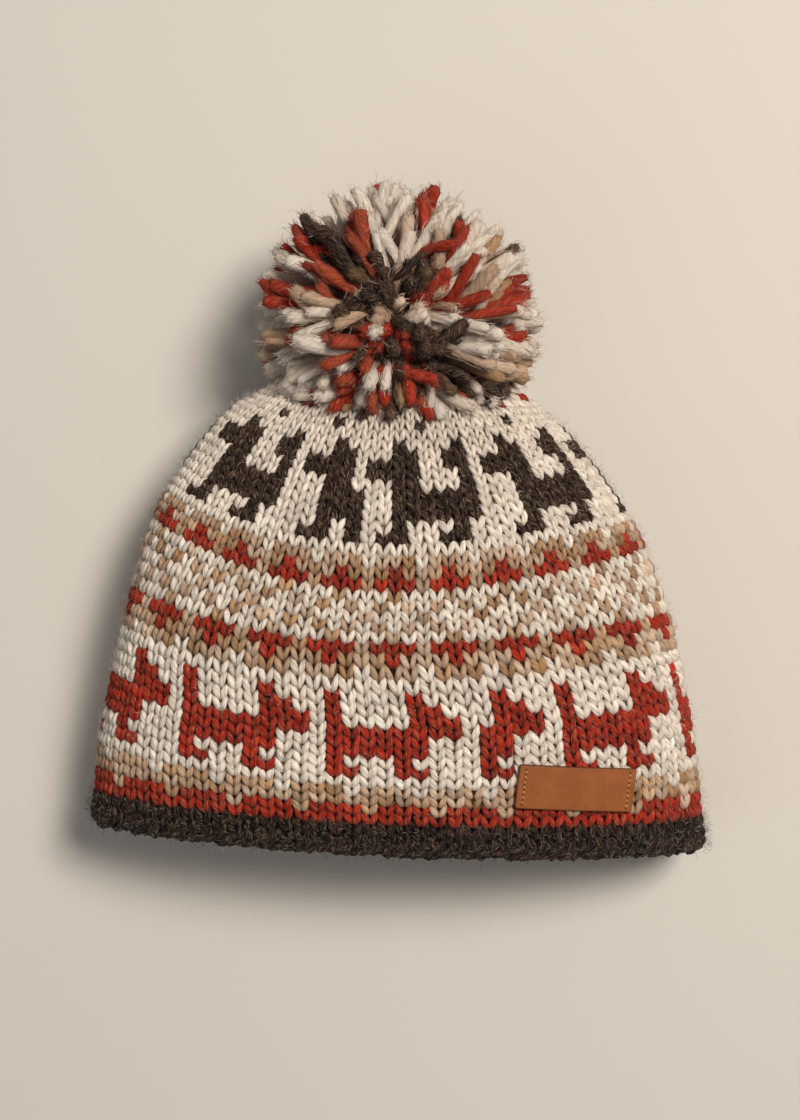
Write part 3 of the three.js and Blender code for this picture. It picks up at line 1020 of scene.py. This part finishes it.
def strand_paths():
    """Centre lines of the strands: they leave the root steeply and flop outwards to the outer form."""
    index = np.arange(STRAND_COUNT)
    evenly = np.arccos(1 - 2 * (index + 0.5) / STRAND_COUNT)
    polar = STRAND_PARTING + evenly * (1 - STRAND_PARTING / math.pi)
    polar = polar + POLAR_JITTER * rng.standard_normal(STRAND_COUNT)
    golden_angle = math.pi * (3 - math.sqrt(5))
    azimuth = index * golden_angle + AZIMUTH_JITTER * rng.standard_normal(STRAND_COUNT)
    polar = np.append(polar, np.radians(rng.uniform(*INNER_POLAR_DEGREES, INNER_STRANDS)))
    azimuth = np.append(azimuth, rng.uniform(0, 2 * math.pi, INNER_STRANDS))
    directions = turned_up(polar, azimuth)
    forward = np.where(directions[:, 1] > 0, POM_REACH, POM_REACH_TO_HEM)
    reach = np.stack(np.broadcast_arrays(POM_HALF_WIDTH, forward, POM_HALF_HEIGHT), axis=-1)
    uneven = 1 + STRAND_UNEVENNESS * rng.uniform(-1, 0.1, STRAND_COUNT)
    uneven = np.append(uneven, rng.uniform(*INNER_LENGTHS, INNER_STRANDS))
    tips = clumped(POM_ROOT + directions * reach * uneven[:, None])
    nearest = np.array([crown.find(tip)[1] for tip in tips])
    depth = ((tips - crown_points[nearest]) * crown_normals[nearest]).sum(axis=-1)
    kept = (depth > DEEPEST_TIP) | (tips[:, 1] > POM_ROOT[1] - 2)
    polar, azimuth, directions, tips = polar[kept], azimuth[kept], directions[kept], tips[kept]
    starts = POM_ROOT + directions * STRAND_START + STRAND_SCATTER * rng.standard_normal(tips.shape)
    length = np.linalg.norm(tips - starts, axis=-1)[:, None]
    flop = STRAND_FLOP * (1 - smooth_step(polar, math.radians(60), math.radians(120)))
    flop = flop * rng.uniform(0.4, 1.3, len(polar))
    bends = starts + turned_up(polar - flop, azimuth) * 0.5 * length
    t = STRAND_STOPS[None, :, None]
    paths = starts[:, None] * (1 - t) ** 2 + bends[:, None] * 2 * t * (1 - t) + tips[:, None] * t ** 2
    sideways = unit(np.cross(directions, rng.standard_normal(directions.shape)))
    bow = STRAND_BEND * length * rng.uniform(0.1, 1.0, length.shape)
    wave = 0.4 * STRAND_BEND * length * rng.uniform(-1.0, 1.0, length.shape)
    paths = paths + (sideways * bow)[:, None] * np.sin(math.pi * t * 0.8)
    return paths + (np.cross(directions, sideways) * wave)[:, None] * np.sin(2 * math.pi * t)


def strand_widths(count):
    uneven = 1 + 0.06 * rng.standard_normal((count, len(STRAND_STOPS)))
    each = 1 + 0.2 * rng.standard_normal((count, 1))
    return STRAND_HALF_WIDTH * STRAND_PROFILE * uneven * np.clip(each, 0.62, 1.38)


def strand_letters(paths):
    """Strands on top keep to the charted colours, and small groups beneath share a colour."""
    fans = np.array([list(fan) for fan in POM_FANS])
    fan, place = fan_places(paths[:, -2])
    charted = fans[fan, place]
    seeds = paths[rng.choice(len(paths), COLOUR_GROUPS, replace=False), -1]
    seed_letters = rng.choice(LOOSE_COLOURS, COLOUR_GROUPS)
    group = np.linalg.norm(paths[:, -1][:, None] - seeds[None], axis=-1).argmin(axis=1)
    on_top = paths[:, -1, 2] > POM_ROOT[2] - CHARTED_DEPTH
    chosen = np.where(on_top, charted, seed_letters[group])
    stray = (rng.random(len(paths)) > FAN_COLOUR_SHARE) & (fan < len(POM_FANS) - 1)
    return np.where(stray, rng.choice(LOOSE_COLOURS, len(paths)), chosen)


def strand_batch(paths, widths, colours):
    axis = unit(np.gradient(paths, axis=1))
    lift = unit(np.cross(axis, np.broadcast_to([0.31, 0.17, 0.93], axis.shape)))
    tips = tips_beyond(paths, 1.0, STRAND_TIP)
    shade = 0.1 + 0.85 * smooth_step(STRAND_STOPS, 0.18, 0.82)
    outer = smooth_step(STRAND_STOPS, 0.35, 0.9)[:, None]
    shaded = np.repeat(colours[:, None], len(STRAND_STOPS), axis=1)
    shaded[..., :3] *= shade[:, None] ** SHADE_WARMTH * (ROOT_WARMTH + (1 - ROOT_WARMTH) * outer)
    return tube_batch(paths, lift, widths, widths, tips, shaded, STRAND_SIDES, STRAND_ROUGHNESS)


def fibre_batch(starts, directions, colours, kind):
    """Loose fibres, each bent twice on its way out."""
    lengths = rng.uniform(*kind.lengths, len(starts))
    side = unit(np.cross(directions, rng.standard_normal(directions.shape)))
    bend = kind.curl * lengths[:, None] * side
    places = [
        starts,
        starts + directions * (0.35 * lengths)[:, None] + 0.5 * bend,
        starts + directions * (0.7 * lengths)[:, None] + 0.6 * bend,
        starts + directions * lengths[:, None] - 0.2 * bend,
    ]
    centres = np.stack(places[1:3], axis=1)
    size = np.full(centres.shape[:2], kind.radius)
    lift = np.repeat(side[:, None], 2, axis=1)
    tips = np.stack([places[0], places[3]], axis=1)
    return tube_batch(centres, lift, size, size, tips, colours, 3)


def fray_batch(paths, widths, colours):
    """Loose ends at the cut end of every strand."""
    axis = np.repeat(unit(paths[:, -1] - paths[:, -2]), FRAY.count, axis=0)
    count = len(axis)
    spread = rng.standard_normal(axis.shape)
    directions = unit(axis + FRAY_SPREAD * spread)
    from_middle = np.repeat(widths[:, -1], FRAY.count) * np.sqrt(rng.random(count))
    starts = np.repeat(paths[:, -1], FRAY.count, axis=0) - axis * FRAY_START
    starts = starts + unit(np.cross(axis, spread)) * from_middle[:, None]
    lighter = np.repeat(colours, FRAY.count, axis=0)
    lighter[:, :3] = lighter[:, :3] * rng.uniform(0.8, 1.1, (count, 1)) + 0.015
    return bent_wisps(starts, directions, lighter, FRAY)


pom_paths = strand_paths()
pom_widths = strand_widths(len(pom_paths))
pom_paths = clear_of_hat(pom_paths, pom_widths + STRAND_ROOM)
middle_rings = pom_paths[:, 1:-1]
pom_paths[:, 1:-1] = 0.5 * middle_rings + 0.25 * (pom_paths[:, :-2] + pom_paths[:, 2:])
pom_paths = clear_of_hat(pom_paths, pom_widths + STRAND_ROOM)
pom_colours = yarn_colours(strand_letters(pom_paths))
marl = POM_MARL * rng.random((len(pom_colours), 1)) ** 3
pom_colours[:, :3] = pom_colours[:, :3] * (1 - marl) + YARN["T"] * marl
upper_half = pom_paths[:, -1, 2] > POM_ROOT[2]
pom_halves = (("pom_strands_upper", upper_half, "pom_pom"), ("pom_strands_lower", ~upper_half, None))
for pom_name, half, replaced_node in pom_halves:
    strands = strand_batch(pom_paths[half], pom_widths[half], pom_colours[half])
    make_piece(pom_name, [strands], pom_wool, replaced_node)
frayed_ends = fray_batch(pom_paths, pom_widths, pom_colours)
make_piece("pom_frayed_ends", [frayed_ends], loose_fibre)


# Leather label, bare, with a row of thread stitches at each short end

LABEL_X = 60.0
LABEL_Y = -92.6
LABEL_LENGTH = 42.0
LABEL_HEIGHT = 15.0
LABEL_THICKNESS = 1.6
LABEL_LIFT = 0.4
LABEL_TOP = LABEL_LIFT + LABEL_THICKNESS
LABEL_HEADING = math.radians(-4)
LABEL_CORNER = 1.0
LABEL_CORNER_STEPS = 5
LABEL_EDGE_STEPS = (28, 12)
LABEL_RIM = 0.35
LABEL_FACE_INSETS = (0.8, 1.6, 2.6, 3.8, 5.2)
LABEL_PATTERN_LENGTH = 4
LABEL_LEATHER = linear(146, 83, 40)
THREAD_INSET = 2.4
THREAD_STITCHES = 7
THREAD_PITCH = 1.75
THREAD_REACH = 0.52
THREAD_RADII = np.array([0.2, 0.3, 0.32, 0.3, 0.2])
THREAD_LIFT = 0.12
THREAD_END_SINK = 0.35
THREAD_TIP = 0.2
THREAD_SIDES = 8
THREAD_FLECKS = 0.2
HOLE_LEVELS = np.array([-0.3, -0.05, 0.02])
HOLE_RADII = np.array([0.42, 0.42, 0.3])
HOLE_SIDES = 10
THREAD_COLOUR = linear(196, 140, 78)
# Painted shade: the holes that the thread goes into are dark spots
HOLE_SHADE_COLOUR = linear(52, 28, 14)


def label_frame():
    middle = front_point(np.array(LABEL_X), np.array(LABEL_Y))
    normal = front_normal(np.array(LABEL_X), np.array(LABEL_Y))
    along = np.array([math.cos(LABEL_HEADING), math.sin(LABEL_HEADING), 0])
    along[2] = -along.dot(normal) / normal[2]
    along = unit(along)
    return middle, along, np.cross(normal, along)


label_middle, label_along, label_up = label_frame()


def on_label(a, b, lift):
    """A point of the label by its length, height and lift over the knit, with its outward direction."""
    a, b, lift = np.broadcast_arrays(a, b, lift)
    flat = label_middle + label_along * a[..., None] + label_up * b[..., None]
    normal = front_normal(flat[..., 0], flat[..., 1])
    return front_point(flat[..., 0], flat[..., 1]) + normal * lift[..., None], normal


def rounded_outline(half_long, half_high, corner):
    """Points round a rectangle with rounded corners, counter-clockwise."""
    points = []
    corners = ((1, 1, 0), (-1, 1, 90), (-1, -1, 180), (1, -1, 270))
    for index, (right, top, start) in enumerate(corners):
        centre = np.array([right * (half_long - corner), top * (half_high - corner)])
        for angle in np.radians(np.linspace(start, start + 90, LABEL_CORNER_STEPS + 1)):
            points.append(centre + corner * np.array([math.cos(angle), math.sin(angle)]))
        after = corners[(index + 1) % 4]
        next_centre = np.array([after[0] * (half_long - corner), after[1] * (half_high - corner)])
        end = math.radians(start + 90)
        next_point = next_centre + corner * np.array([math.cos(end), math.sin(end)])
        steps = LABEL_EDGE_STEPS[index % 2]
        for step in range(1, steps):
            points.append(points[-1] + (next_point - points[-1]) / (steps - step + 1))
    return np.array(points)


def label_batch():
    """Rings from the middle of the underside, round the edge and in to the middle of the face."""
    # Each step is the share of the outline's size, the lift, the inset and the shade
    steps = [(share, LABEL_LIFT, 0.0, 0.55) for share in (0.1, 0.6, 1.0)]
    steps += [(1.0, LABEL_LIFT + 0.5, 0.0, 0.4), (1.0, LABEL_TOP - LABEL_RIM, 0.0, 0.45)]
    steps += [(1.0, LABEL_TOP - 0.1, LABEL_RIM * 0.35, 0.62), (1.0, LABEL_TOP, LABEL_RIM, 0.85)]
    steps += [(1.0, LABEL_TOP, inset, 1.0) for inset in LABEL_FACE_INSETS]
    steps += [(share, LABEL_TOP, LABEL_FACE_INSETS[-1], 1.0) for share in (0.75, 0.5, 0.25, 0.06)]
    rings = []
    colours = []
    for share, lift, inset, shade in steps:
        corner = max(LABEL_CORNER - inset, 0.15)
        outline = rounded_outline(LABEL_LENGTH / 2 - inset, LABEL_HEIGHT / 2 - inset, corner) * share
        points, _ = on_label(outline[:, 0], outline[:, 1], lift)
        rings.append(points)
        colours.append(np.append(LABEL_LEATHER * shade, 1))
    return one_tube_batch(np.array(rings), np.array(colours), LABEL_PATTERN_LENGTH)


def end_places(count):
    """Evenly spaced places across both short ends of the label."""
    numbers = np.arange(count) - (count - 1) / 2
    reach = LABEL_LENGTH / 2 - THREAD_INSET
    return np.array([(end * reach, number * THREAD_PITCH) for end in (-1, 1) for number in numbers])


def thread_batches():
    """Short stitches along both ends of the label, and the holes that they go into, painted dark as
    shade.
    """
    places = end_places(THREAD_STITCHES)
    t = np.linspace(-1, 1, len(THREAD_RADII))[None, :]
    level = LABEL_TOP + THREAD_LIFT - THREAD_END_SINK * t ** 2
    centres, normal = on_label(places[:, :1], places[:, 1:] + THREAD_REACH * t, level)
    size = np.tile(THREAD_RADII, (len(places), 1))
    tips = tips_beyond(centres, THREAD_TIP, THREAD_TIP)
    colours = np.tile(np.append(THREAD_COLOUR, THREAD_FLECKS), (len(places), 1))
    threads = tube_batch(centres, normal, size, size, tips, colours, THREAD_SIDES)

    holes = end_places(THREAD_STITCHES + 1)
    middles, up = on_label(holes[:, :1], holes[:, 1:], LABEL_TOP + HOLE_LEVELS)
    wide = np.tile(HOLE_RADII, (len(holes), 1))
    across = np.broadcast_to(label_along, up.shape)
    # Painted shade: each hole is a dark spot sunk into the leather
    colours = np.tile(np.append(HOLE_SHADE_COLOUR, 0), (len(holes), 1))
    pits = tube_batch(middles, across, wide, wide, middles[:, [0, -1]], colours, HOLE_SIDES)
    return [threads, pits]


def leather_material():
    """Vegetable-tanned leather: pores, fine creases and cloudy colour."""
    material, tree, inputs = new_material("tan_leather")
    link = tree.links.new
    inputs["Specular IOR Level"].default_value = 0.35
    tone = add_node(tree, "ShaderNodeAttribute", {"attribute_name": "yarn"})
    place = add_node(tree, "ShaderNodeTexCoord").outputs["Object"]
    clouds = noise(tree, place, 160.0, 5.0, 0.6)
    creases = noise(tree, place, 900.0, 4.0, 0.7)
    grain = add_node(tree, "ShaderNodeTexVoronoi", None, {"Scale": 1500.0})
    link(place, grain.inputs["Vector"])
    cloudy = ranged(tree, clouds, 0.3, 0.7, 0.82, 1.16)
    pores = ranged(tree, grain.outputs["Distance"], 0.0, 0.25, 0.86, 1.0)
    lightness = math_node(tree, "MULTIPLY", cloudy, pores)
    link(scaled(tree, tone.outputs["Color"], lightness), inputs["Base Color"])
    link(ranged(tree, creases, 0.3, 0.7, 0.5, 0.7), inputs["Roughness"])
    height = math_node(tree, "ADD", grain.outputs["Distance"], creases)
    link(bumped(tree, height, 0.5, 0.12 * MM), inputs["Normal"])
    return material


make_piece("label_leather", [label_batch()], leather_material(), "leather_label")
make_piece("label_thread", thread_batches(), loose_fibre)


# Loose fibres that stand off the knit, the edging and the pom-pom

BODY_FIBRE = Fibre(8000, (1.8, 5.0), 0.05, 0.2)
BODY_FIBRE_ROWS = (3, 42)
BODY_FIBRE_TURNS = (-0.03, 0.53)
BODY_FIBRE_START = -0.1
LEAST_FACING = 0.15
HEM_FIBRE = Fibre(2400, (1.8, 4.5), 0.06, 0.25)
HEM_FIBRE_ROWS = (0.1, 3)
HEM_FIBRE_TURNS = (-0.05, 0.55)
HEM_FIBRE_START = 0.9
HEM_FIBRE_LIGHT = np.array([0.62, 0.52, 0.45])
HEM_FIBRE_DARK = 0.012
POM_FUZZ = 23500
FUZZ_RADIUS = 0.1
FUZZ_LIFTS = np.array([0.85, 1.12, 1.22])
POM_FIBRE = Fibre(2400, (3, 8), 0.06, 0.4)
PARTING_FIBRE = Fibre(1200, (4, 8), 0.08, 0.5)
PARTING_SPREAD = np.array([9.0, 9.0, 6.0])
PARTING_HEIGHT = np.array([0, 0, 20.0])
LABEL_MARGIN = 4.0


def off_label(points):
    """Which points lie clear of the label."""
    from_middle = points - label_middle
    beside = np.abs(from_middle @ label_along) > LABEL_LENGTH / 2 + LABEL_MARGIN
    above = np.abs(from_middle @ label_up) > LABEL_HEIGHT / 2 + LABEL_MARGIN
    return beside | above


def body_fibre_batch():
    rows = rng.uniform(*BODY_FIBRE_ROWS, BODY_FIBRE.count)
    turns = rng.uniform(*BODY_FIBRE_TURNS, BODY_FIBRE.count)
    starts, normal = on_wall(rows, turns, BODY_FIBRE_START)
    kept = off_label(starts)
    rows, turns, starts, normal = rows[kept], turns[kept], starts[kept], normal[kept]
    directions = unit(normal * 0.4 + rng.standard_normal(normal.shape) * 0.6)
    facing = (directions * normal).sum(axis=-1, keepdims=True)
    directions = unit(directions + normal * np.maximum(LEAST_FACING - facing, 0))
    colours = yarn_colours(letters_at(rows, turns))
    colours[:, :3] = colours[:, :3] * 0.9 + 0.06
    return bent_wisps(starts, directions, colours, BODY_FIBRE)


def hem_fibre_batch():
    rows = rng.uniform(*HEM_FIBRE_ROWS, HEM_FIBRE.count)
    turns = rng.uniform(*HEM_FIBRE_TURNS, HEM_FIBRE.count)
    starts, normal = on_wall(rows, turns, HEM_FIBRE_START)
    directions = unit(normal * 0.25 + rng.standard_normal(normal.shape) * 0.6)
    light = rng.uniform(0.0, 1.0, (HEM_FIBRE.count, 1)) ** 3 * HEM_FIBRE_LIGHT + HEM_FIBRE_DARK
    colours = np.column_stack([light, np.zeros(HEM_FIBRE.count)])
    return bent_wisps(starts, directions, colours, HEM_FIBRE)


def pom_fuzz_batch():
    """Fibres that hug the strands and lift off them towards their ends."""
    uppermost = np.argsort(-pom_paths[:, -1, 2])
    chosen = uppermost[(rng.random(POM_FUZZ) ** 1.5 * len(uppermost)).astype(int)]
    ring = rng.integers(2, len(STRAND_STOPS) - 2, POM_FUZZ)
    rings = ring[:, None] + np.arange(3)
    centres = pom_paths[chosen[:, None], rings]
    axis = unit(centres[:, 2] - centres[:, 0])
    side = unit(np.cross(axis, rng.standard_normal(axis.shape)))
    drift = rng.uniform(0.1, 0.7, (POM_FUZZ, 1)) * np.arange(3)
    away = side[:, None] * np.cos(drift)[..., None]
    away += np.cross(axis, side)[:, None] * np.sin(drift)[..., None]
    lift = FUZZ_LIFTS * (1 + 0.12 * rng.standard_normal((POM_FUZZ, 3)))
    lift[:, 2] += 0.5 * rng.random(POM_FUZZ) ** 2
    places = centres + away * (pom_widths[chosen[:, None], rings] * lift)[..., None]
    places[:, 2] += axis * rng.uniform(0, 1.5, (POM_FUZZ, 1))
    colours = pom_colours[chosen].copy()
    shade = 0.12 + 0.88 * smooth_step(STRAND_STOPS[ring + 1], 0.2, 0.85)
    colours[:, :3] *= (shade * rng.uniform(0.65, 1.2, POM_FUZZ))[:, None] ** SHADE_WARMTH
    return wisp_batch(places[:, 0], places[:, 1], places[:, 2], FUZZ_RADIUS, colours)


def pom_fibre_batch():
    """Flyaway fibres of the strands."""
    chosen = rng.integers(0, len(pom_paths), POM_FIBRE.count)
    ring = rng.integers(3, len(STRAND_STOPS), POM_FIBRE.count)
    axis = unit(pom_paths[chosen, ring] - pom_paths[chosen, ring - 1])
    away = unit(np.cross(axis, rng.standard_normal(axis.shape)))
    starts = pom_paths[chosen, ring] + away * pom_widths[chosen, ring][:, None] * 0.9
    outward = rng.uniform(0.2, 0.9, (POM_FIBRE.count, 1))
    directions = unit(0.7 * axis + outward * away + 0.3 * rng.standard_normal(axis.shape))
    colours = pom_colours[rng.permutation(chosen)]
    colours[:, :3] = colours[:, :3] * 0.8 + 0.03
    return fibre_batch(starts, directions, colours, POM_FIBRE)


def parting_fibre_batch():
    """Dark fuzz in the parting, where the strands leave the root."""
    spread = rng.standard_normal((PARTING_FIBRE.count, 3)) * PARTING_SPREAD
    starts = POM_ROOT + PARTING_HEIGHT + spread
    directions = unit(rng.standard_normal(starts.shape) + np.array([0, 0, 0.4]))
    tone = YARN["D"] * rng.uniform(0.6, 3.2, (PARTING_FIBRE.count, 1))
    colours = np.column_stack([tone, np.zeros(PARTING_FIBRE.count)])
    return fibre_batch(starts, directions, colours, PARTING_FIBRE)


make_piece("knit_loose_fibres", [body_fibre_batch()], loose_fibre)
make_piece("hem_loose_fibres", [hem_fibre_batch()], loose_fibre)
make_piece("pom_fuzz", [pom_fuzz_batch()], loose_fibre)
make_piece("pom_loose_fibres", [pom_fibre_batch(), parting_fibre_batch()], loose_fibre)


# Floor, light and camera

FLOOR_HALF_SIDE = 8.0


def pale_floor():
    mesh = bpy.data.meshes.new("floor")
    half = FLOOR_HALF_SIDE
    corners = [(-half, -half, 0), (half, -half, 0), (half, half, 0), (-half, half, 0)]
    mesh.from_pydata(corners, [], [(0, 1, 2, 3)])
    material, _, inputs = new_material("pale_floor")
    inputs["Base Color"].default_value = (*linear(214, 208, 200), 1)
    inputs["Roughness"].default_value = 0.85
    mesh.materials.append(material)
    floor = bpy.data.objects.new("floor", mesh)
    bpy.context.scene.collection.objects.link(floor)


def area_light(name, place, target, size, watts, colour):
    light = bpy.data.lights.new(name, "AREA")
    light.size = size
    light.energy = watts
    light.color = colour
    lamp = bpy.data.objects.new(name, light)
    lamp.location = place
    lamp.rotation_euler = (Vector(target) - Vector(place)).to_track_quat("-Z", "Y").to_euler()
    bpy.context.scene.collection.objects.link(lamp)


def studio():
    pale_floor()
    middle = (0, 0, 0.04)
    area_light("key", (0.6, 0.45, 1.45), middle, 0.5, 25, (1.0, 0.93, 0.84))
    area_light("fill", (-0.9, -0.6, 1.1), middle, 1.2, 2.5, (0.95, 0.97, 1.0))
    world = bpy.data.worlds.new("studio")
    world.use_nodes = True
    background = world.node_tree.nodes["Background"]
    background.inputs["Color"].default_value = (1.0, 0.97, 0.93, 1)
    background.inputs["Strength"].default_value = 0.16
    bpy.context.scene.world = world
    bpy.context.scene.view_settings.view_transform = "Standard"


def overhead_camera():
    camera = bpy.data.cameras.new("camera")
    camera.lens = 64.6
    camera.sensor_width = 36
    holder = bpy.data.objects.new("camera", camera)
    holder.location = (0.0007, -0.0153, 0.750)
    bpy.context.scene.collection.objects.link(holder)
    bpy.context.scene.camera = holder


studio()
overhead_camera()
